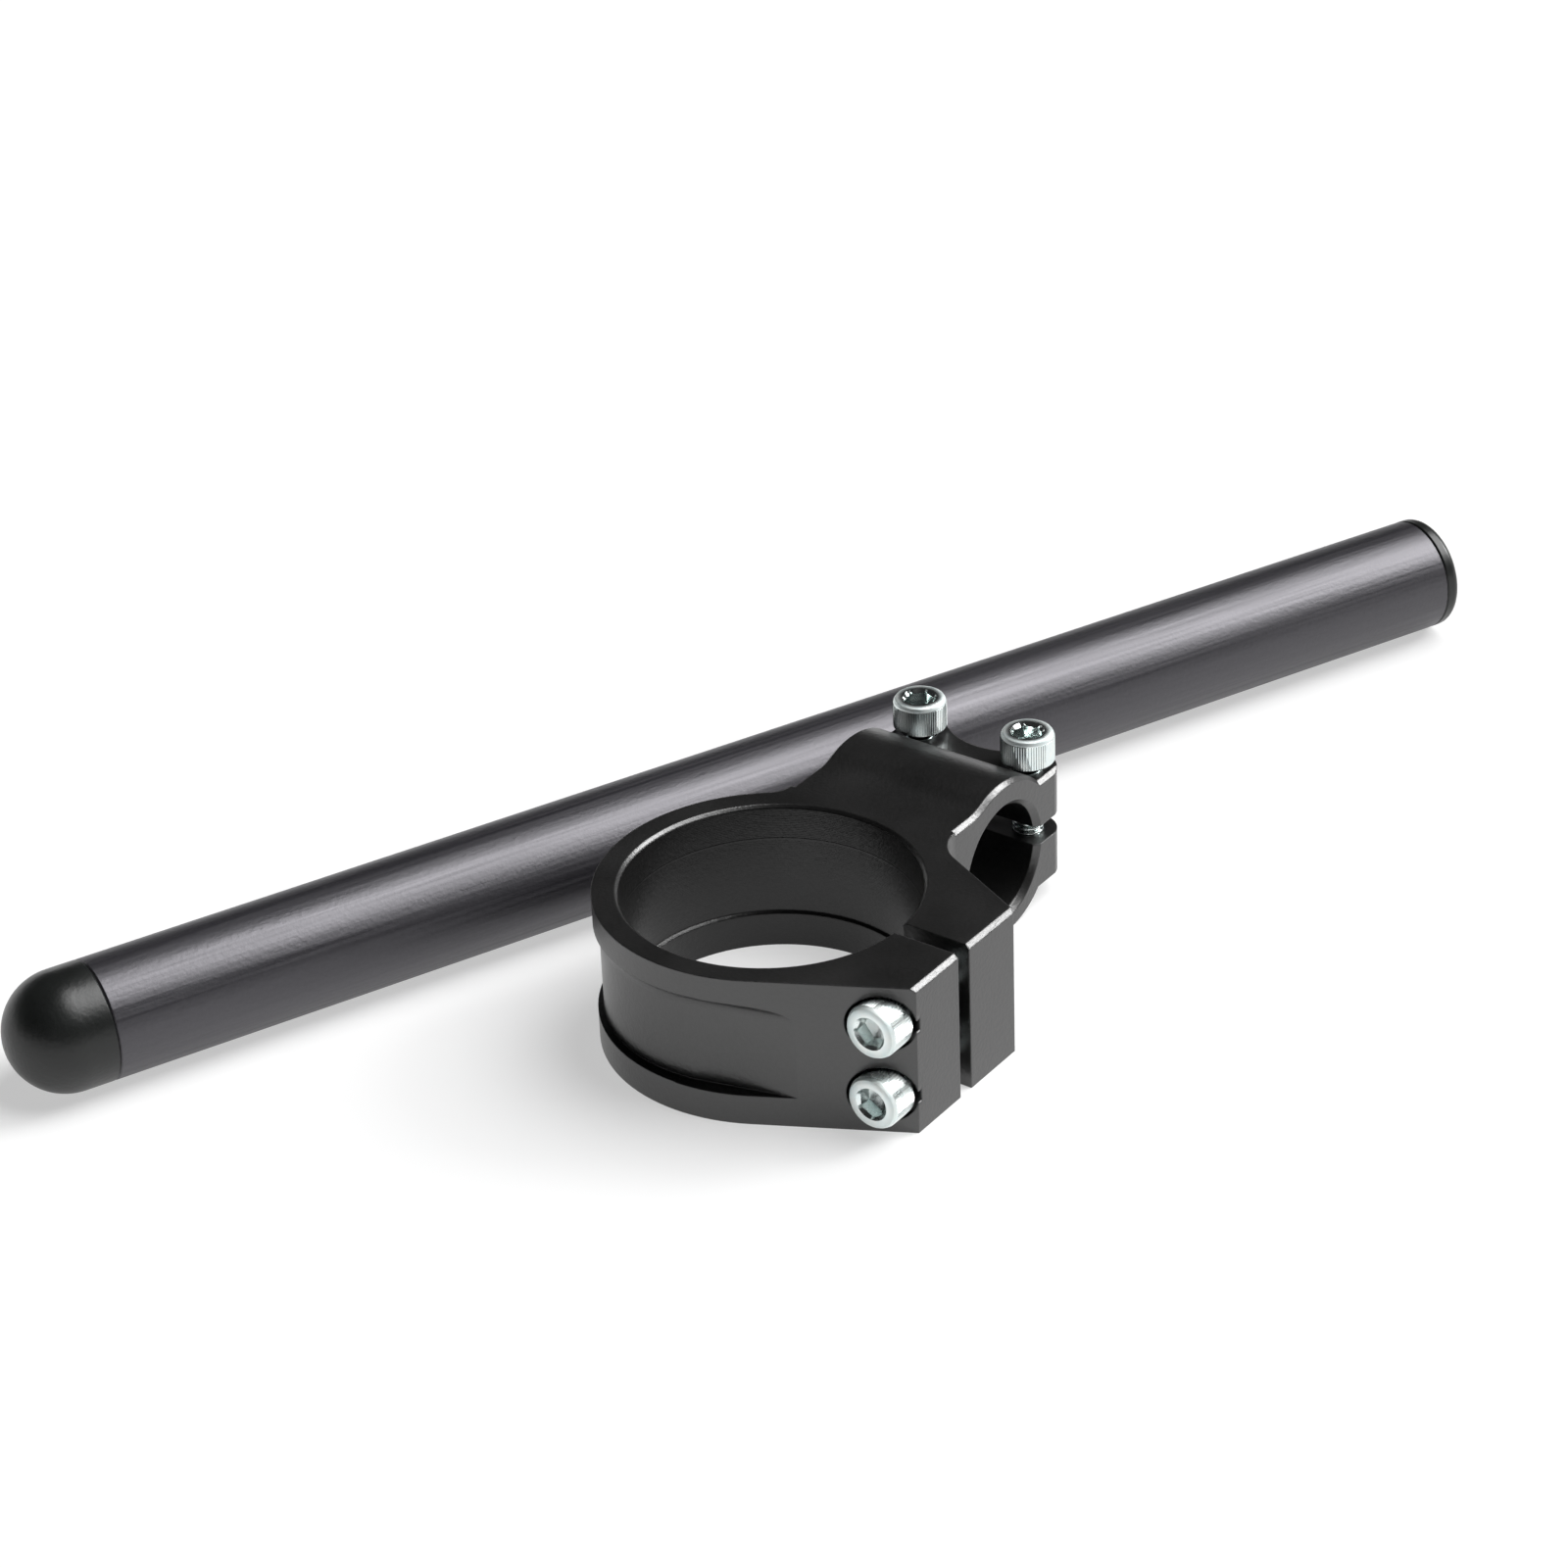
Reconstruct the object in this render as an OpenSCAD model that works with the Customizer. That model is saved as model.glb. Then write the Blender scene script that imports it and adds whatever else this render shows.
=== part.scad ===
// Clip-on handlebar: a fork clamp with a bar clamp on its arm, four cap screws, and its bar.
// The clamp lies flat with the bar beside it. The origin is the middle of the fork bore.
// The fork bore runs along Z and the bar bore along Y, and both pass through the plane z = 0.

/* [Fork clamp] */
// Diameter of the fork tube that the clamp grips
fork_d = 53; // [50:0.5:55]
// Gap between the fork tube and its bore, on the radius
fork_clearance = 0.05; // [0.02:0.01:0.15]
// Wall of the ring round the fork bore
ring_wall = 4.7; // [4:0.1:6]
// Height of the clamp along the fork
clamp_h = 29; // [27:0.5:32]
// Distance from the fork axis to the ends of the ears
ear_reach = 40.1; // [38.5:0.1:44]
// Distance from the slit's middle to the outer corner of the left ear, which has the screw heads
ear_left_w = 14.4; // [13.5:0.1:16]
// Distance from the slit's middle to the outer corner of the right ear
ear_right_w = 15.3; // [14:0.1:17]
// Width of the slit between the ears
fork_slit = 3.4; // [2:0.1:5]
// Height of the narrow lip at the foot of the fork bore
lip_h = 7.1; // [4:0.1:9]
// How far the lip stands in from the bore
lip_step = 0.5; // [0.2:0.1:1.5]
// Chamfer at the top of the fork bore
bore_chamfer = 0.6; // [0.2:0.1:1.2]
// Chamfer on the top edge of the ears' ends
ear_chamfer = 0.8; // [0.4:0.1:1.6]

/* [Ring groove] */
// Mean depth of the groove round the ring
groove_depth = 2.65; // [1:0.05:3]
// How far the groove's own centre is shifted from the fork axis
groove_shift = 1.7; // [0:0.1:2]
// Angle of that shift from straight away from the ears, towards the side without the arm
groove_lean = 20; // [0:1:45]
// Height of the flange under the groove
lower_flange = 5.9; // [4:0.1:8]
// Height of the groove's flat floor
groove_floor_h = 15; // [12:0.1:17]
// Radius between the groove floor and the rim above it
groove_fillet = 3.5; // [2.5:0.1:5]
// How far past the ring the groove runs along the ear
groove_runout = 7.9; // [4:0.1:10]
// Angle from the arm at which the groove starts
groove_start = 75; // [65:1:110]

/* [Bar clamp] */
// Distance from the fork axis to the bar axis
bar_offset = 46.9; // [46:0.1:52]
// Gap between the bar and its bore, on the radius
bar_clearance = 0.05; // [0.02:0.01:0.15]
// Length of the bar clamp along the bar
bar_clamp_w = 34; // [32:0.5:40]
// How far the bar clamp's middle lies towards the ears from the fork axis
bar_shift = 0.5; // [0:0.1:1]
// Wall of the hump over the bar
hump_wall = 5.3; // [4.5:0.05:7]
// Radius of the hollow between the arm's top and the hump
blend_r = 10; // [6:0.5:14]
// Height of the screw seats above the bar axis
seat_h = 11.2; // [10.5:0.1:12.5]
// How far the round under the bar bore has its centre outside the bar axis
belly_out = 1.1; // [0:0.1:2]
// Depth of the lower jaw below the bar axis
jaw_drop = 10.5; // [9:0.1:12]
// Width of the slit between the jaws
bar_slit = 3.8; // [2:0.1:5]
// Radius of the jaw's bosses round the screws
boss_r = 5.3; // [5:0.1:6]
// How far the scallop's middle lies outside the screw axes
scallop_out = 1; // [0:0.1:3.5]
// Radius between the ear and the bar clamp's front face
front_fillet = 8; // [4:0.5:9]
// Radius between the ring and the bar clamp's rear face
rear_fillet = 5; // [2:0.5:8]
// Radius of the cutter that clears the screw seats
seat_cutter_r = 5.5; // [5.2:0.1:7]
// Chamfer along the top edge of the bar clamp's end faces
face_chamfer = 0.8; // [0.4:0.1:1.6]
// Chamfer at both ends of the bar bore
bar_chamfer = 1.05; // [0.4:0.05:1.3]

/* [Screws] */
// Thread diameter of the screws
screw_d = 6; // [5:0.5:6]
// Diameter of the screw heads
head_d = 10; // [8.5:0.1:10.4]
// Height of the screw heads
head_h = 6; // [5:0.1:7]
// Width across the flats of the hexagon socket
socket_w = 5; // [4:0.5:5.5]
// Depth of the hexagon socket
socket_depth = 3; // [2:0.1:3.5]
// Bevel on the rim of the screw heads
head_bevel = 0.5; // [0.2:0.1:0.8]
// Gap round a screw in its plain hole, on the radius
hole_clearance = 0.3; // [0.1:0.05:0.4]
// Gap round a screw in its threaded hole, on the radius
thread_clearance = 0.05; // [0.02:0.01:0.1]
// Gap round a fork screw's head in its spotface, on the radius
spot_clearance = 0.5; // [0.3:0.1:0.8]
// Length of the fork screws under the head
fork_screw_l = 25; // [20:1:28]
// Length of the bar screws under the head
bar_screw_l = 20; // [18:1:22]
// Distance from the ears' ends to the fork screws
fork_screw_edge = 5.4; // [5:0.1:7]
// Distance between the two fork screws
fork_screw_pitch = 14.2; // [12:0.1:15.5]
// Depth of the fork screws' seats below the ear's end corner
fork_seat_depth = 1.1; // [0.4:0.1:1.5]
// How far the screws are turned out, which lifts their heads off the seats
screw_lift = 1.3; // [0:0.1:2]
// Depth of the threaded hole past the end of a fork screw
thread_spare = 1.5; // [0.5:0.1:2.5]
// Wall between the bar bore and the bar screws' holes
screw_web = 1.35; // [0.6:0.05:2]
// Distance from the bar clamp's end faces to the bar screws
bar_screw_edge = 5.2; // [5:0.1:6]

/* [Bar] */
// Outer diameter of the bar
bar_d = 22.2; // [22:0.1:22.4]
// Wall of the bar's tube
bar_wall = 3; // [2:0.1:4]
// Length of the tube between the two plugs
bar_length = 290; // [250:5:320]
// Chamfer on the tube's ends, at the seams
seam_chamfer = 0.3; // [0.1:0.05:0.5]
// Angle of the bar from the clamp's arm
bar_turn = 23; // [15:1:30]
// Gap between the clamp and the bar where it lies beside it
bar_gap = 2.2; // [1:0.1:10]
// Length of the bar on the domed side of the fork axis
bar_lead = 105.9; // [80:1:140]

/* [End plugs] */
// Straight collar under the domed plug's nose
dome_collar = 5.5; // [3:0.1:8]
// Length of the plugs' stems inside the tube
stem_l = 18; // [10:1:25]
// Gap between a stem and the tube, on the radius
stem_clearance = 0.05; // [0.02:0.01:0.15]
// Thickness of the flat plug's flange
flange_t = 3; // [2:0.1:5]
// Radius round the rim of the flat plug
flange_round = 1.5; // [0.5:0.1:1.8]

/* [Hidden] */
$fn = 96;
cut = 1;                                // how far a cutter reaches past the face that it opens
half_h = clamp_h / 2;
fork_bore_r = fork_d / 2 + fork_clearance;
ring_r = fork_bore_r + ring_wall;
lip_r = fork_bore_r - lip_step;
bar_r = bar_d / 2;
bar_bore_r = bar_r + bar_clearance;
hump_r = bar_bore_r + hump_wall;
half_w = bar_clamp_w / 2;
screw_r = screw_d / 2;
head_r = head_d / 2;
plain_hole_r = screw_r + hole_clearance;
thread_hole_r = screw_r + thread_clearance;

// The ears' outer faces touch the ring and end at the ears' corners
left_angle = 180 - ear_angle(ear_left_w);
left_normal = [cos(left_angle), sin(left_angle)];
right_angle = ear_angle(ear_right_w);
right_normal = [cos(right_angle), sin(right_angle)];
fork_screw_y = fork_screw_edge - ear_reach;
fork_seat_x = ear_left_w - fork_seat_depth;

// The groove's floor is a circle with its own centre, so that the groove deepens towards the ears.
// It leaves that circle along a straight line that comes out on the left ear.
floor_r = ring_r - groove_depth;
floor_x = -groove_shift * sin(groove_lean);
floor_y = groove_shift * cos(groove_lean);
runout_at = ring_r * left_normal + groove_runout * [-left_normal.y, left_normal.x];
runout_from = runout_at - [floor_x, floor_y];
runout_dist = norm(runout_from);
runout_angle = 360 + atan2(runout_from.y, runout_from.x) - acos(floor_r / runout_dist);
runout_l = sqrt(pow(runout_dist, 2) - pow(floor_r, 2));
start_l = sqrt(pow(ring_r, 2) - pow(floor_r, 2));
groove_cross = 0.1;
groove_overlap = 5;
groove_low = lower_flange - half_h;
groove_high = groove_low + groove_floor_h;

// The bar screws stand outside the bar bore, and the jaws end in bosses round them
bar_screw_x = bar_offset + bar_bore_r + screw_web + plain_hole_r;
bar_screw_y = half_w - bar_screw_edge;
scallop_r = (pow(scallop_out, 2) + pow(bar_screw_y, 2) - pow(boss_r, 2)) / (2 * (boss_r - scallop_out));
scallop_x = bar_screw_x + scallop_out + scallop_r;
jaw_end = bar_screw_x + boss_r;
belly_x = bar_offset + belly_out;

// The hollow touches the arm's top and the hump
blend_x = bar_offset - sqrt(pow(hump_r + blend_r, 2) - pow(half_h + blend_r, 2));
blend_z = half_h + blend_r;

// Centres of the two fillets in the clamp's outline
front_y = -half_w - bar_shift - front_fillet;
front_x = (ring_r + front_fillet - right_normal.y * front_y) / right_normal.x;
rear_y = half_w - bar_shift + rear_fillet;
rear_x = sqrt(pow(ring_r + rear_fillet, 2) - pow(rear_y, 2));

// The bar lies on the same floor as the clamp, beside the clamp's outermost point
bar_normal = [sin(bar_turn), cos(bar_turn)];
clamp_side = max(ring_r, bar_normal * [bar_screw_x, bar_screw_y - bar_shift] + boss_r);
bar_side = clamp_side + bar_gap + bar_r;
bar_z = bar_r - half_h;
tube_bore_r = bar_r - bar_wall;
stem_r = tube_bore_r - stem_clearance;

function ear_angle(corner) = atan2(-ear_reach, corner) + acos(ring_r / norm([corner, ear_reach]));

module slab(x0, x1, z0, z1, chamfer) {
    // A block across the bar clamp's width, with its two top edges chamfered
    translate([x0, 0, 0])
        rotate([90, 0, 90])
            linear_extrude(x1 - x0)
                polygon([[-half_w, z0], [half_w, z0], [half_w, z1 - chamfer],
                         [half_w - chamfer, z1], [chamfer - half_w, z1], [-half_w, z1 - chamfer]]);
}

module along_y(x, z) {
    translate([x, 0, z])
        rotate([-90, 0, 0])
            children();
}

module fork_outline() {
    circle(ring_r);
    polygon([[0, 0], ring_r * right_normal, [ear_right_w, -ear_reach],
             [-ear_left_w, -ear_reach], ring_r * left_normal]);
}

module front_corner() {
    difference() {
        polygon([[0, 0], [front_x, front_y] - front_fillet * right_normal, [front_x, front_y],
                 [front_x, -half_w - bar_shift], [front_x, 0]]);
        translate([front_x, front_y])
            circle(front_fillet);
    }
}

module rear_corner() {
    touch = ring_r / (ring_r + rear_fillet);
    difference() {
        polygon([[0, 0], [rear_x, 0], [rear_x, half_w - bar_shift], [rear_x, rear_y], [rear_x, rear_y] * touch]);
        translate([rear_x, rear_y])
            circle(rear_fillet);
    }
}

module jaw_outline() {
    // Seen from above: straight sides, a boss round each screw and the scallop between them
    intersection() {
        translate([0, -half_w])
            square([jaw_end, bar_clamp_w]);
        union() {
            translate([0, -half_w])
                square([bar_screw_x, bar_clamp_w]);
            for (side = [-1, 1])
                translate([bar_screw_x, side * bar_screw_y])
                    circle(boss_r);
            difference() {
                polygon([[bar_screw_x, -bar_screw_y], [scallop_x, 0], [bar_screw_x, bar_screw_y]]);
                translate([scallop_x, 0])
                    circle(scallop_r);
            }
        }
    }
}

module hump() {
    intersection() {
        along_y(bar_offset, 0)
            rotate_extrude()
                polygon([[0, -half_w], [hump_r - face_chamfer, -half_w], [hump_r, face_chamfer - half_w],
                         [hump_r, half_w - face_chamfer], [hump_r - face_chamfer, half_w], [0, half_w]]);
        translate([bar_offset - hump_r - cut, -half_w, 0])
            cube([2 * (hump_r + cut), bar_clamp_w, hump_r + cut]);
    }
}

module hollow() {
    // The filling between the arm's top and the hump, under a round cutter with flared ends
    difference() {
        along_y(0, 0)
            linear_extrude(bar_clamp_w, center = true)
                polygon([[blend_x, -half_h], [blend_x, -blend_z], [bar_offset, 0]]);
        along_y(blend_x, blend_z)
            rotate_extrude()
                polygon([[0, -half_w - cut], [blend_r + face_chamfer + cut, -half_w - cut],
                         [blend_r, face_chamfer - half_w], [blend_r, half_w - face_chamfer],
                         [blend_r + face_chamfer + cut, half_w + cut], [0, half_w + cut]]);
    }
}

module bar_form() {
    slab(0, belly_x, -half_h, half_h, face_chamfer);
    slab(bar_offset, jaw_end, 0, seat_h, face_chamfer);
    hump();
    hollow();
    intersection() {
        along_y(belly_x, 0)
            cylinder(h = bar_clamp_w, r = half_h, center = true);
        translate([belly_x, -half_w, -half_h])
            cube([half_h, bar_clamp_w, half_h]);
    }
    translate([bar_offset, -half_w, -jaw_drop])
        cube([jaw_end - bar_offset, bar_clamp_w, jaw_drop]);
}

module clamp_blank() {
    translate([0, 0, -half_h])
        linear_extrude(clamp_h) {
            fork_outline();
            front_corner();
            rear_corner();
        }
    translate([0, -bar_shift, 0])
        intersection() {
            bar_form();
            translate([0, 0, -half_h - cut])
                linear_extrude(clamp_h + 2 * hump_r)
                    jaw_outline();
        }
}

module fork_bore() {
    rotate_extrude()
        polygon([[0, -half_h - cut], [lip_r, -half_h - cut], [lip_r, lip_h - lip_step - half_h],
                 [fork_bore_r, lip_h - half_h], [fork_bore_r, half_h - bore_chamfer],
                 [fork_bore_r + bore_chamfer + cut, half_h + cut], [0, half_h + cut]]);
}

module bar_bore() {
    along_y(bar_offset, 0)
        translate([0, 0, -bar_shift])
            rotate_extrude()
                polygon([[0, -half_w - cut], [bar_bore_r + bar_chamfer + cut, -half_w - cut],
                         [bar_bore_r, bar_chamfer - half_w], [bar_bore_r, half_w - bar_chamfer],
                         [bar_bore_r + bar_chamfer + cut, half_w + cut], [0, half_w + cut]]);
}

module groove_section() {
    translate([floor_r, groove_low])
        square([groove_depth + groove_fillet, groove_high - groove_low]);
    translate([floor_r + groove_fillet, groove_high])
        circle(groove_fillet);
}

module groove_straight(angle, length, turn) {
    // A straight length that leaves the floor's circle at the given angle, and crosses it there
    translate([floor_x, floor_y, 0])
        rotate([0, 0, angle])
            rotate([90, 0, turn])
                translate([0, 0, -groove_overlap])
                    linear_extrude(length + groove_overlap)
                        mirror([turn / 180, 0])
                            translate([-groove_cross, -groove_cross])
                                groove_section();
}

module ring_groove() {
    translate([floor_x, floor_y, 0])
        rotate([0, 0, groove_start])
            rotate_extrude(angle = runout_angle - groove_start)
                groove_section();
}

module slits() {
    translate([-fork_slit / 2, -ear_reach - cut, -half_h - cut])
        cube([fork_slit, ear_reach + cut, clamp_h + 2 * cut]);
    translate([bar_offset, -half_w - bar_shift - cut, -bar_slit / 2])
        cube([jaw_end - bar_offset + cut, bar_clamp_w + 2 * cut, bar_slit]);
}

module fork_screw_holes() {
    for (side = [-1, 1])
        translate([0, fork_screw_y, side * fork_screw_pitch / 2])
            rotate([0, 90, 0]) {
                translate([0, 0, -fork_seat_x])
                    cylinder(h = fork_seat_x, r = plain_hole_r);
                cylinder(h = fork_screw_l - fork_seat_x + thread_spare, r = thread_hole_r);
                translate([0, 0, -ring_r])
                    cylinder(h = ring_r - fork_seat_x, r = head_r + spot_clearance);
            }
}

module bar_screw_holes() {
    for (side = [-1, 1])
        translate([bar_screw_x, side * bar_screw_y - bar_shift, 0]) {
            cylinder(h = seat_h + cut, r = plain_hole_r);
            translate([0, 0, -jaw_drop - cut])
                cylinder(h = jaw_drop + 2 * cut, r = thread_hole_r);
            translate([0, 0, seat_h])
                cylinder(h = hump_r, r = seat_cutter_r);
        }
}

module ear_edge() {
    translate([0, -ear_reach, half_h])
        rotate([45, 0, 0])
            cube([2 * ear_right_w + 2 * cut, ear_chamfer * sqrt(2), ear_chamfer * sqrt(2)], center = true);
}

module clamp() {
    color([0.1, 0.1, 0.11])
        difference() {
            difference() {
                clamp_blank();
                groove_straight(runout_angle, runout_l + cut, 180);
                groove_straight(groove_start, start_l + cut, 0);
            }
            fork_bore();
            bar_bore();
            ring_groove();
            slits();
            fork_screw_holes();
            bar_screw_holes();
            ear_edge();
        }
}

module cap_screw(length) {
    // The seat is at z = 0, with the head above it
    color([0.8, 0.82, 0.82])
        translate([0, 0, screw_lift])
            difference() {
                rotate_extrude()
                    polygon([[0, -length], [screw_r - head_bevel, -length], [screw_r, head_bevel - length],
                             [screw_r, 0], [head_r, 0], [head_r, head_h - head_bevel],
                             [head_r - head_bevel, head_h], [0, head_h]]);
                translate([0, 0, head_h - socket_depth])
                    cylinder(h = socket_depth + cut, r = socket_w / 2 / cos(30), $fn = 6);
            }
}

module fork_screw(side) {
    translate([-fork_seat_x, fork_screw_y, side * fork_screw_pitch / 2])
        rotate([0, -90, 0])
            cap_screw(fork_screw_l);
}

module bar_screw(side) {
    translate([bar_screw_x, side * bar_screw_y - bar_shift, seat_h])
        cap_screw(bar_screw_l);
}

module beside_clamp(x) {
    // Lays a piece that is modelled along Z on the bar's axis, x from the domed seam
    rotate([0, 0, -bar_turn])
        translate([x - bar_lead, bar_side, bar_z])
            rotate([0, 90, 0])
                children();
}

module bar_tube() {
    color([0.12, 0.12, 0.14])
        beside_clamp(0)
            rotate_extrude()
                polygon([[tube_bore_r, 0], [bar_r - seam_chamfer, 0], [bar_r, seam_chamfer],
                         [bar_r, bar_length - seam_chamfer], [bar_r - seam_chamfer, bar_length],
                         [tube_bore_r, bar_length]]);
}

module domed_end_plug() {
    color([0.05, 0.05, 0.05])
        beside_clamp(0)
            rotate_extrude() {
                square([stem_r, stem_l]);
                polygon([[0, -dome_collar], [bar_r, -dome_collar], [bar_r, -seam_chamfer],
                         [bar_r - seam_chamfer, 0], [0, 0]]);
                intersection() {
                    translate([0, -dome_collar])
                        circle(bar_r);
                    translate([0, -dome_collar - bar_r])
                        square([bar_r, bar_r]);
                }
            }
}

module flat_end_plug() {
    color([0.05, 0.05, 0.05])
        beside_clamp(bar_length)
            rotate_extrude() {
                translate([0, -stem_l])
                    square([stem_r, stem_l]);
                polygon([[0, 0], [bar_r - seam_chamfer, 0], [bar_r, seam_chamfer],
                         [bar_r, flange_t - flange_round], [bar_r - flange_round, flange_t], [0, flange_t]]);
                translate([bar_r - flange_round, flange_t - flange_round])
                    circle(flange_round);
            }
}

clamp();
fork_screw(1);  // fork_screw_upper
fork_screw(-1);  // fork_screw_lower
bar_screw(-1);  // bar_screw_front
bar_screw(1);  // bar_screw_rear
bar_tube();
domed_end_plug();
flat_end_plug();
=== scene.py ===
import math

import bmesh
import bpy
from mathutils import Matrix, Vector


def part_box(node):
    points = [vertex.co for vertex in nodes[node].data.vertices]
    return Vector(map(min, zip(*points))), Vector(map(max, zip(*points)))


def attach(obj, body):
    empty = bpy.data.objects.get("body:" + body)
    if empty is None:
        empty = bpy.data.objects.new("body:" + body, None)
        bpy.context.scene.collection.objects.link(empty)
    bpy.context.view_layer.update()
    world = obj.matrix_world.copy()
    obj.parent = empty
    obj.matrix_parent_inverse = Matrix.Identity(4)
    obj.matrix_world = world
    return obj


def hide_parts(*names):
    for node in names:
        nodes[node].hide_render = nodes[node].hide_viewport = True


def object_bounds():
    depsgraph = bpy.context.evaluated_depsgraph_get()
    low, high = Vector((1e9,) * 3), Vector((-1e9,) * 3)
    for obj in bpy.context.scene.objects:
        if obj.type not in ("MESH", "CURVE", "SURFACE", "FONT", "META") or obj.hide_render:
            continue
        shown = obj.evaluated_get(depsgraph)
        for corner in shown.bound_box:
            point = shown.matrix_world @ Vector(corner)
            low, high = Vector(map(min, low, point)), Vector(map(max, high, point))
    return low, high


# Clip-on handlebar: anodised clamp with four zinc cap screws, and its bar lying beside it
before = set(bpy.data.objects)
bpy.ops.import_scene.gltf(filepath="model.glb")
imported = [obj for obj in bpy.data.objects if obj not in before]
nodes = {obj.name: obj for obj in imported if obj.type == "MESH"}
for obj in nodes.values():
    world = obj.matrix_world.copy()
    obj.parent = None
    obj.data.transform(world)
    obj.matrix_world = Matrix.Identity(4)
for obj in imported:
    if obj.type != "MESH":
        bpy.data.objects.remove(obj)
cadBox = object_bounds()
mm = 0.001
print("frame loaded:", ", ".join(sorted(nodes)))


view = {
    "place": (-513.87, -389.134, 409.514),    # mm, from the middle of the fork bore
    "turn": (59.7749, 2.0428, -54.3203),      # degrees
    "lens": 100.18,                           # mm
    "sensor": 36,                             # mm
    "clip": (0.05, 60),                       # m
}


def addCamera(view):
    data = bpy.data.cameras.new("camera")
    data.lens = view["lens"]
    data.sensor_width = view["sensor"]
    data.sensor_fit = "AUTO"
    data.clip_start, data.clip_end = view["clip"]
    camera = bpy.data.objects.new("camera", data)
    camera.location = Vector(view["place"]) * mm
    camera.rotation_euler = [math.radians(a) for a in view["turn"]]
    bpy.context.scene.collection.objects.link(camera)
    bpy.context.scene.camera = camera


addCamera(view)
print("camera placed")


# Helpers for shader trees
def startMaterial(name):
    material = bpy.data.materials.new(name)
    material.use_nodes = True
    tree = material.node_tree
    return material, tree, tree.nodes["Principled BSDF"]


def scaled(tree, coords, scale=(1, 1, 1), turn=0):
    mapping = tree.nodes.new("ShaderNodeMapping")
    mapping.inputs["Scale"].default_value = scale
    mapping.inputs["Rotation"].default_value = (0, 0, math.radians(turn))
    tree.links.new(coords, mapping.inputs["Vector"])
    return mapping.outputs["Vector"]


def objectCoords(tree, turn=0):
    return scaled(tree, tree.nodes.new("ShaderNodeTexCoord").outputs["Object"], turn=turn)


def noise(tree, coords, scale, detail, roughness=0.5):
    node = tree.nodes.new("ShaderNodeTexNoise")
    node.inputs["Scale"].default_value = scale
    node.inputs["Detail"].default_value = detail
    node.inputs["Roughness"].default_value = roughness
    tree.links.new(coords, node.inputs["Vector"])
    return node.outputs["Fac"]


def spread(tree, value, low, high, fromLow=0.3, fromHigh=0.7):
    node = tree.nodes.new("ShaderNodeMapRange")
    node.inputs["From Min"].default_value = fromLow
    node.inputs["From Max"].default_value = fromHigh
    node.inputs["To Min"].default_value = low
    node.inputs["To Max"].default_value = high
    tree.links.new(value, node.inputs["Value"])
    return node.outputs["Result"]


def calc(tree, kind, a, b=None):
    node = tree.nodes.new("ShaderNodeMath")
    node.operation = kind
    for socket, value in zip(node.inputs, (a, b)):
        if value is None:
            continue
        if isinstance(value, (int, float)):
            socket.default_value = value
        else:
            tree.links.new(value, socket)
    return node.outputs["Value"]


def blend(tree, a, b, share):
    return calc(tree, "ADD", calc(tree, "MULTIPLY", a, 1 - share), calc(tree, "MULTIPLY", b, share))


def roundedEdges(tree, radius):
    node = tree.nodes.new("ShaderNodeBevel")
    node.samples = 6
    node.inputs["Radius"].default_value = radius * mm
    return node.outputs["Normal"]


def bump(tree, height, distance, normal=None):
    node = tree.nodes.new("ShaderNodeBump")
    node.inputs["Distance"].default_value = distance * mm
    node.inputs["Strength"].default_value = 1
    tree.links.new(height, node.inputs["Height"])
    if normal is not None:
        tree.links.new(normal, node.inputs["Normal"])
    return node.outputs["Normal"]


def paint(tree, shader, value, finish):
    # Base colour from dark to light along a noise value
    node = tree.nodes.new("ShaderNodeMix")
    node.data_type = "RGBA"
    node.inputs[6].default_value = (*finish["dark"], 1)
    node.inputs[7].default_value = (*finish["light"], 1)
    tree.links.new(spread(tree, value, 0, 1), node.inputs[0])
    tree.links.new(node.outputs[2], shader.inputs["Base Color"])


def finishNode(name, material):
    data = nodes[name].data
    data.materials.clear()
    data.materials.append(material)


clampFinish = {
    "dark": (0.0015, 0.0015, 0.0015),
    "light": (0.0075, 0.0073, 0.0073),
    "cloudScale": 60,            # noise scales here are cells per metre
    "grainScale": 1300,
    "grainShare": 2 / 3,         # of the fine grain in the colour, against the broad clouds
    "grainDepth": 0.05,          # mm
    "ior": 1.93,
    "gloss": (0.29, 0.36),       # roughness, from and to
    "shine": 0.45,
    "boreShine": 0.22,
    "boreRadius": 26.7,          # mm, inside which the turning marks lie
    "toolPitch": 0.35,           # mm, between the turning marks
    "toolDepth": 0.003,          # mm
    "lineHeight": 7.7,           # mm, of the tool's stop line in the fork bore
    "lineWidth": 0.25,           # mm, on each side
    "lineDepth": 8,              # times toolDepth
    "edgeRadius": 0.4,           # mm
}


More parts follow.
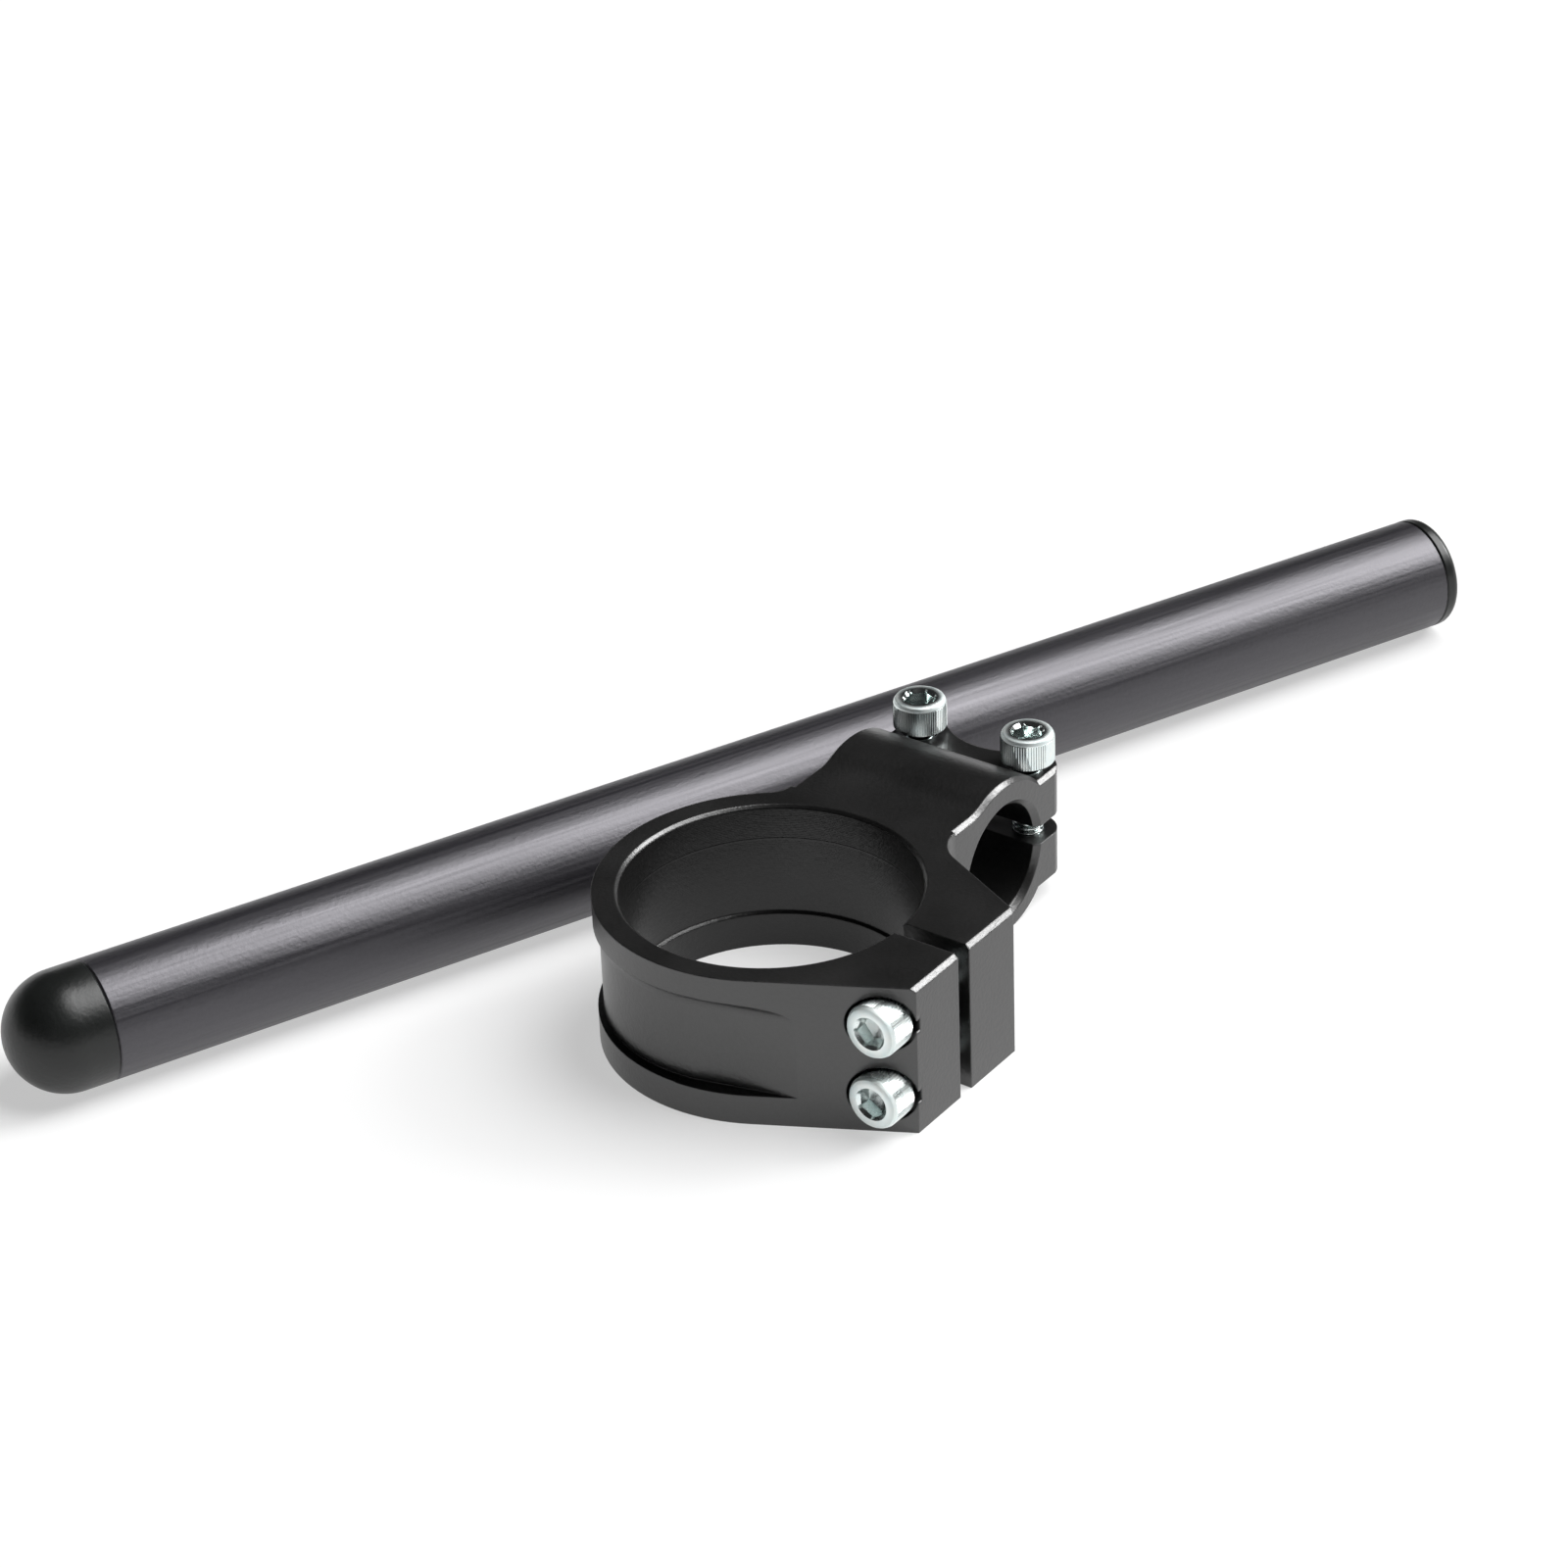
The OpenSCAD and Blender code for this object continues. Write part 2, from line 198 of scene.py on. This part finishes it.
def blackAnodised(finish):
    material, tree, shader = startMaterial("blackAnodised")
    coords = objectCoords(tree)
    cloud = noise(tree, coords, finish["cloudScale"], detail=4)
    fine = noise(tree, coords, finish["grainScale"], detail=2, roughness=0.6)
    paint(tree, shader, blend(tree, cloud, fine, finish["grainShare"]), finish)
    tree.links.new(spread(tree, cloud, *finish["gloss"]), shader.inputs["Roughness"])
    shader.inputs["IOR"].default_value = finish["ior"]
    # The fork bore is duller, with turning marks and one deeper line
    split = tree.nodes.new("ShaderNodeSeparateXYZ")
    tree.links.new(coords, split.inputs["Vector"])
    x, y, z = split.outputs
    fromAxis = calc(tree, "SQRT", calc(tree, "ADD", calc(tree, "MULTIPLY", x, x), calc(tree, "MULTIPLY", y, y)))
    inBore = calc(tree, "LESS_THAN", fromAxis, finish["boreRadius"] * mm)
    tree.links.new(spread(tree, inBore, finish["shine"], finish["boreShine"], fromLow=0, fromHigh=1),
                   shader.inputs["Specular IOR Level"])
    marks = calc(tree, "SINE", calc(tree, "MULTIPLY", z, 2 * math.pi / (finish["toolPitch"] * mm)))
    fromLine = calc(tree, "ABSOLUTE", calc(tree, "SUBTRACT", z, finish["lineHeight"] * mm))
    line = spread(tree, fromLine, finish["lineDepth"], 0, fromLow=0, fromHigh=finish["lineWidth"] * mm)
    turned = calc(tree, "MULTIPLY", inBore, calc(tree, "ADD", marks, line))
    normal = roundedEdges(tree, finish["edgeRadius"])
    normal = bump(tree, fine, finish["grainDepth"], normal)
    normal = bump(tree, turned, finish["toolDepth"], normal)
    tree.links.new(normal, shader.inputs["Normal"])
    return material


finishNode("clamp", blackAnodised(clampFinish))
print("clamp finished")


barFinish = {
    "dark": (0.006, 0.0058, 0.008),
    "light": (0.0185, 0.018, 0.0207),
    "turn": 23,                  # degrees, of the bar from the clamp's arm
    "drawScale": 1500,
    "drawStretch": 0.012,        # along the bar, so that the noise becomes draw lines
    "drawDepth": 0.022,          # mm
    "grainScale": 1200,
    "grainShare": 0.5,
    "grainDepth": 0.04,          # mm
    "ior": 1.86,
    "gloss": (0.34, 0.5),
    "sheen": (0.96, 0.935, 1),
    "edgeRadius": 0.1,           # mm
}


def drawnTube(finish):
    material, tree, shader = startMaterial("drawnTube")
    coords = objectCoords(tree, finish["turn"])
    along = scaled(tree, coords, (finish["drawStretch"], 1, 1))
    streaks = noise(tree, along, finish["drawScale"], detail=3, roughness=0.6)
    fine = noise(tree, coords, finish["grainScale"], detail=2, roughness=0.6)
    paint(tree, shader, blend(tree, streaks, fine, finish["grainShare"]), finish)
    tree.links.new(spread(tree, streaks, *finish["gloss"]), shader.inputs["Roughness"])
    shader.inputs["IOR"].default_value = finish["ior"]
    shader.inputs["Specular Tint"].default_value = (*finish["sheen"], 1)
    normal = roundedEdges(tree, finish["edgeRadius"])
    normal = bump(tree, fine, finish["grainDepth"], normal)
    normal = bump(tree, streaks, finish["drawDepth"], normal)
    tree.links.new(normal, shader.inputs["Normal"])
    return material


finishNode("bar_tube", drawnTube(barFinish))
print("bar finished")


plugFinish = {
    "dark": (0.0075, 0.0085, 0.008),
    "light": (0.012, 0.0135, 0.013),
    "cloudScale": 90,
    "grainScale": 1100,
    "grainDepth": 0.04,          # mm
    "gloss": (0.3, 0.41),
    "edgeRadius": 0.15,          # mm
}


def mouldedRubber(finish):
    material, tree, shader = startMaterial("mouldedRubber")
    coords = objectCoords(tree)
    cloud = noise(tree, coords, finish["cloudScale"], detail=4)
    fine = noise(tree, coords, finish["grainScale"], detail=2)
    paint(tree, shader, cloud, finish)
    tree.links.new(spread(tree, cloud, *finish["gloss"]), shader.inputs["Roughness"])
    normal = bump(tree, fine, finish["grainDepth"], roundedEdges(tree, finish["edgeRadius"]))
    tree.links.new(normal, shader.inputs["Normal"])
    return material


rubber = mouldedRubber(plugFinish)
finishNode("domed_end_plug", rubber)
finishNode("flat_end_plug", rubber)
print("plugs finished")


capScrew = {
    "headRadius": 5.0,           # mm, as all lengths here, over the ridges
    "headHeight": 6.0,
    "footBevel": 0.3,
    "rim": ((0, 0.9), (0.1, 0.54), (0.35, 0.135), (0.7, 0)),    # rolled rim: how far in, how far down
    "mouthRadius": 3.1,
    "mouthDepth": 0.6,
    "socketWidth": 5.0,
    "socketDepth": 3.0,
    "drill": (0.9, 0.5),         # radius and depth of the cone at the socket's foot
    "ridges": 66,
    "ridgeRadius": 0.26,
    "ridgeDepth": 0.08,          # how far the ridges stand out
    "threadRadius": 3.0,
    "threadDepth": 0.55,
    "ringRadius": 0.42,          # of a thread ring's square section
    "pitch": 1.0,
    "plainEnds": (0.7, 0.5),     # without thread, at the tip and under the head
    "neck": 0.4,
    "tipBevel": (0.4, 0.6),
    "segments": 96,
    "sharpAngle": 28,            # degrees
    "length": {"fork": 25, "bar": 20},
    "turn": {"fork_screw_upper": 8, "fork_screw_lower": 31,    # degrees, each socket about its axis
             "bar_screw_front": 14, "bar_screw_rear": 40},
    "dark": (0.78, 0.87, 0.87),
    "light": (0.90, 0.94, 0.92),
    "cloudScale": 400,
    "grainScale": 5000,
    "grainDepth": 0.002,
    "gloss": {"fork": (0.22, 0.34), "bar": (0.1, 0.18)},
    "rimDull": 0.4,              # added to the roughness on the rolled rim
}


def zincPlate(kind, size):
    material, tree, shader = startMaterial(kind + "Zinc")
    coords = objectCoords(tree)
    cloud = noise(tree, coords, size["cloudScale"], detail=4)
    fine = noise(tree, coords, size["grainScale"], detail=2)
    paint(tree, shader, cloud, size)
    rim = tree.nodes.new("ShaderNodeAttribute")
    rim.attribute_name = "rim"
    gloss = spread(tree, cloud, *size["gloss"][kind])
    dull = calc(tree, "MULTIPLY", rim.outputs["Fac"], size["rimDull"])
    tree.links.new(calc(tree, "ADD", gloss, dull), shader.inputs["Roughness"])
    shader.inputs["Metallic"].default_value = 1
    tree.links.new(bump(tree, fine, size["grainDepth"]), shader.inputs["Normal"])
    return material


def socketRadius(angle, width):
    # Distance from the middle to a hexagon's side, in the direction of the angle
    return width / 2 / math.cos((angle + math.pi / 6) % (math.pi / 3) - math.pi / 6)


def screwBlank(size, length):
    # The head with its socket and the plain core, along Z with the seat at z = 0
    core = size["threadRadius"] - size["threadDepth"]
    side = size["headRadius"] - size["ridgeDepth"]
    top = size["headHeight"]
    low = top - size["socketDepth"]
    tipIn, tipUp = size["tipBevel"]
    drillRadius, drillDepth = size["drill"]
    # Rings from the tip over the head into the socket: radius, height, and 1 on the rolled rim
    rings = [(core - tipIn, -length, 0), (core, tipUp - length, 0), (core, -size["neck"], 0),
             (core + size["neck"], 0, 0), (side - size["footBevel"], 0, 0), (side, size["footBevel"], 0)]
    rings += [(side - inward, top - down, int(inward > 0)) for inward, down in size["rim"]]
    rings += [(size["mouthRadius"], top, 0), ("hexagon", top - size["mouthDepth"], 0), ("hexagon", low, 0),
              (drillRadius, low - drillDepth, 0)]
    form = bmesh.new()
    rim = form.verts.layers.float.new("rim")
    count = size["segments"]
    loops = []
    for radius, z, onRim in rings:
        loop = []
        for k in range(count):
            angle = 2 * math.pi * k / count
            r = socketRadius(angle, size["socketWidth"]) if radius == "hexagon" else radius
            point = form.verts.new((r * math.cos(angle) * mm, r * math.sin(angle) * mm, z * mm))
            point[rim] = onRim
            loop.append(point)
        loops.append(loop)
    for below, above in zip(loops, loops[1:]):
        for k in range(count):
            form.faces.new((below[k], below[(k + 1) % count], above[(k + 1) % count], above[k]))
    form.faces.new(reversed(loops[0]))
    form.faces.new(loops[-1])
    bmesh.ops.recalc_face_normals(form, faces=form.faces)
    mesh = bpy.data.meshes.new("screwBlank")
    form.to_mesh(mesh)
    form.free()
    mesh.shade_smooth()
    mesh.set_sharp_from_angle(angle=math.radians(size["sharpAngle"]))
    return mesh


def screwTree():
    # Adds the head's knurled ridges and the thread's rings to the blank
    tree = bpy.data.node_groups.new("screwDetail", "GeometryNodeTree")
    face = tree.interface
    face.new_socket("Blank", in_out="INPUT", socket_type="NodeSocketGeometry")
    inputs = {}
    for name, kind in (("Ridges", "Int"), ("Ridge Circle", "Float"), ("Ridge Radius", "Float"),
                       ("Ridge Length", "Float"), ("Ridge Height", "Float"), ("Turns", "Int"),
                       ("Pitch", "Float"), ("Ring Circle", "Float"), ("Ring Radius", "Float"),
                       ("Thread End", "Float"), ("Finish", "Material")):
        inputs[name] = face.new_socket(name, in_out="INPUT", socket_type="NodeSocket" + kind).identifier
    face.new_socket("Geometry", in_out="OUTPUT", socket_type="NodeSocketGeometry")
    make, link = tree.nodes.new, tree.links.new
    given, result = make("NodeGroupInput"), make("NodeGroupOutput")
    read = given.outputs

    # One ridge on each point of a circle: a square bar, half sunk, with one edge facing outwards
    circle = make("GeometryNodeMeshCircle")
    link(read["Ridges"], circle.inputs["Vertices"])
    link(read["Ridge Circle"], circle.inputs["Radius"])
    ridge = make("GeometryNodeMeshCylinder")
    ridge.inputs["Vertices"].default_value = 4
    link(read["Ridge Radius"], ridge.inputs["Radius"])
    link(read["Ridge Length"], ridge.inputs["Depth"])
    step = make("ShaderNodeMath")
    step.operation = "DIVIDE"
    step.inputs[0].default_value = 2 * math.pi
    link(read["Ridges"], step.inputs[1])
    turn = make("ShaderNodeMath")
    turn.operation = "MULTIPLY"
    link(make("GeometryNodeInputIndex").outputs["Index"], turn.inputs[0])
    link(step.outputs["Value"], turn.inputs[1])
    about = make("ShaderNodeCombineXYZ")
    link(turn.outputs["Value"], about.inputs["Z"])
    ridges = make("GeometryNodeInstanceOnPoints")
    link(circle.outputs["Mesh"], ridges.inputs["Points"])
    link(ridge.outputs["Mesh"], ridges.inputs["Instance"])
    link(about.outputs["Vector"], ridges.inputs["Rotation"])
    lift = make("ShaderNodeCombineXYZ")
    link(read["Ridge Height"], lift.inputs["Z"])
    raised = make("GeometryNodeTransform")
    link(ridges.outputs["Instances"], raised.inputs["Geometry"])
    link(lift.outputs["Vector"], raised.inputs["Translation"])

    # One sharp ring for each turn of the thread
    loop = make("GeometryNodeCurvePrimitiveCircle")
    loop.inputs["Resolution"].default_value = 48
    link(read["Ring Circle"], loop.inputs["Radius"])
    section = make("GeometryNodeCurvePrimitiveCircle")
    section.inputs["Resolution"].default_value = 4
    link(read["Ring Radius"], section.inputs["Radius"])
    ring = make("GeometryNodeCurveToMesh")
    link(loop.outputs["Curve"], ring.inputs["Curve"])
    link(section.outputs["Curve"], ring.inputs["Profile Curve"])
    up, start = make("ShaderNodeCombineXYZ"), make("ShaderNodeCombineXYZ")
    link(read["Pitch"], up.inputs["Z"])
    link(read["Thread End"], start.inputs["Z"])
    line = make("GeometryNodeMeshLine")
    link(read["Turns"], line.inputs["Count"])
    link(start.outputs["Vector"], line.inputs["Start Location"])
    link(up.outputs["Vector"], line.inputs["Offset"])
    rings = make("GeometryNodeInstanceOnPoints")
    link(line.outputs["Mesh"], rings.inputs["Points"])
    link(ring.outputs["Mesh"], rings.inputs["Instance"])

    joined = make("GeometryNodeJoinGeometry")
    for part in (rings.outputs["Instances"], raised.outputs["Geometry"], read["Blank"]):
        link(part, joined.inputs["Geometry"])
    real, painted = make("GeometryNodeRealizeInstances"), make("GeometryNodeSetMaterial")
    link(joined.outputs["Geometry"], real.inputs["Geometry"])
    link(real.outputs["Geometry"], painted.inputs["Geometry"])
    link(read["Finish"], painted.inputs["Material"])
    link(painted.outputs["Geometry"], result.inputs["Geometry"])
    return tree, inputs


def seatPlace(node, kind, headHeight):
    # From the CAD screw's box: its head's outer face stands headHeight above the seat
    low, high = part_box(node)
    middle = (low + high) / 2
    if kind == "fork":           # the fork screws' heads face -X, the bar screws' face up
        seat = Vector((low.x + headHeight * mm, middle.y, middle.z))
        return Matrix.Translation(seat) @ Matrix.Rotation(math.radians(-90), 4, "Y")
    return Matrix.Translation((middle.x, middle.y, high.z - headHeight * mm))


def addScrew(node, turn, size, finish, detail):
    tree, inputs = detail
    kind = node.split("_")[0]
    length = size["length"][kind]
    tipPlain, headPlain = size["plainEnds"]
    ridgeLow, ridgeHigh = size["footBevel"], size["headHeight"] - size["rim"][0][1]
    blank = bpy.data.objects.new("blank", screwBlank(size, length))
    bpy.context.scene.collection.objects.link(blank)
    modifier = blank.modifiers.new("detail", "NODES")
    modifier.node_group = tree
    values = {
        "Ridges": size["ridges"],
        "Ridge Circle": (size["headRadius"] - size["ridgeRadius"]) * mm,
        "Ridge Radius": size["ridgeRadius"] * mm,
        "Ridge Length": (ridgeHigh - ridgeLow) * mm,
        "Ridge Height": (ridgeHigh + ridgeLow) / 2 * mm,
        "Turns": int((length - tipPlain - headPlain) / size["pitch"]),
        "Pitch": size["pitch"] * mm,
        "Ring Circle": (size["threadRadius"] - size["ringRadius"]) * mm,
        "Ring Radius": size["ringRadius"] * mm,
        "Thread End": (tipPlain - length) * mm,
        "Finish": finish,
    }
    for name, value in values.items():
        modifier[inputs[name]] = value
    bpy.context.view_layer.update()
    shape = bpy.data.meshes.new_from_object(blank.evaluated_get(bpy.context.evaluated_depsgraph_get()))
    bpy.data.objects.remove(blank)
    name = node.replace("_", "-")
    shape.name = name
    shape.transform(seatPlace(node, kind, size["headHeight"]) @ Matrix.Rotation(math.radians(turn), 4, "Z"))
    piece = bpy.data.objects.new(name, shape)
    bpy.context.scene.collection.objects.link(piece)
    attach(piece, "root")
    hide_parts(node)


zinc = {kind: zincPlate(kind, capScrew) for kind in ("fork", "bar")}
detail = screwTree()
for node, turn in capScrew["turn"].items():
    addScrew(node, turn, capScrew, zinc[node.split("_")[0]], detail)
print("screws made")


studio = {
    "floorColour": (0.42, 0.42, 0.42),
    "floorGlow": 0.52,                     # added where the floor is seen, so that its shadow is light
    "floorSize": 8,                        # m, of its flat part
    "rimReach": 6,                         # m, of the rising rim that closes the view at a low camera
    "rimRise": 1.3,                        # m
    "world": 0.022,
    "keyFrom": (0.40, -0.36, 0.845),       # direction from the object to the lamp
    "keyAngle": 50,                        # degrees, how wide the lamp looks
    "keyStrength": 3.7,
    "glintFrom": (0.69, -0.50, 0.52),
    "glintAngle": 18,
    "glintStrength": 1.4,
}


def addFloor(studio):
    reach = studio["floorSize"] / 2
    points = []
    for r, z in ((reach, cadBox[0].z), (reach + studio["rimReach"], cadBox[0].z + studio["rimRise"])):
        points += [(-r, -r, z), (r, -r, z), (r, r, z), (-r, r, z)]
    rim = [(k, k + 4, (k + 1) % 4 + 4, (k + 1) % 4) for k in range(4)]
    mesh = bpy.data.meshes.new("floor")
    mesh.from_pydata(points, [], [(0, 1, 2, 3)] + rim)
    floor = bpy.data.objects.new("floor", mesh)
    bpy.context.scene.collection.objects.link(floor)
    material, tree, shader = startMaterial("paleFloor")
    shader.inputs["Base Color"].default_value = (*studio["floorColour"], 1)
    shader.inputs["Roughness"].default_value = 0.9
    shader.inputs["Specular IOR Level"].default_value = 0
    rays = tree.nodes.new("ShaderNodeLightPath").outputs
    seen = calc(tree, "ADD", calc(tree, "ADD", rays["Is Camera Ray"], rays["Is Glossy Ray"]),
                rays["Is Transmission Ray"])
    shader.inputs["Emission Color"].default_value = (1, 1, 1, 1)
    tree.links.new(calc(tree, "MULTIPLY", seen, studio["floorGlow"]), shader.inputs["Emission Strength"])
    mesh.materials.append(material)


def addSun(name, studio):
    data = bpy.data.lights.new(name, "SUN")
    data.angle = math.radians(studio[name + "Angle"])
    data.energy = studio[name + "Strength"]
    lamp = bpy.data.objects.new(name, data)
    lamp.rotation_euler = Vector(studio[name + "From"]).to_track_quat("Z", "Y").to_euler()
    bpy.context.scene.collection.objects.link(lamp)


def addWorld(level):
    world = bpy.data.worlds.new("studio")
    world.use_nodes = True
    world.node_tree.nodes["Background"].inputs["Color"].default_value = (level, level, level, 1)
    bpy.context.scene.world = world


addFloor(studio)
addSun("key", studio)
addSun("glint", studio)
addWorld(studio["world"])
bpy.context.scene.view_settings.view_transform = "Standard"
print("studio lit")
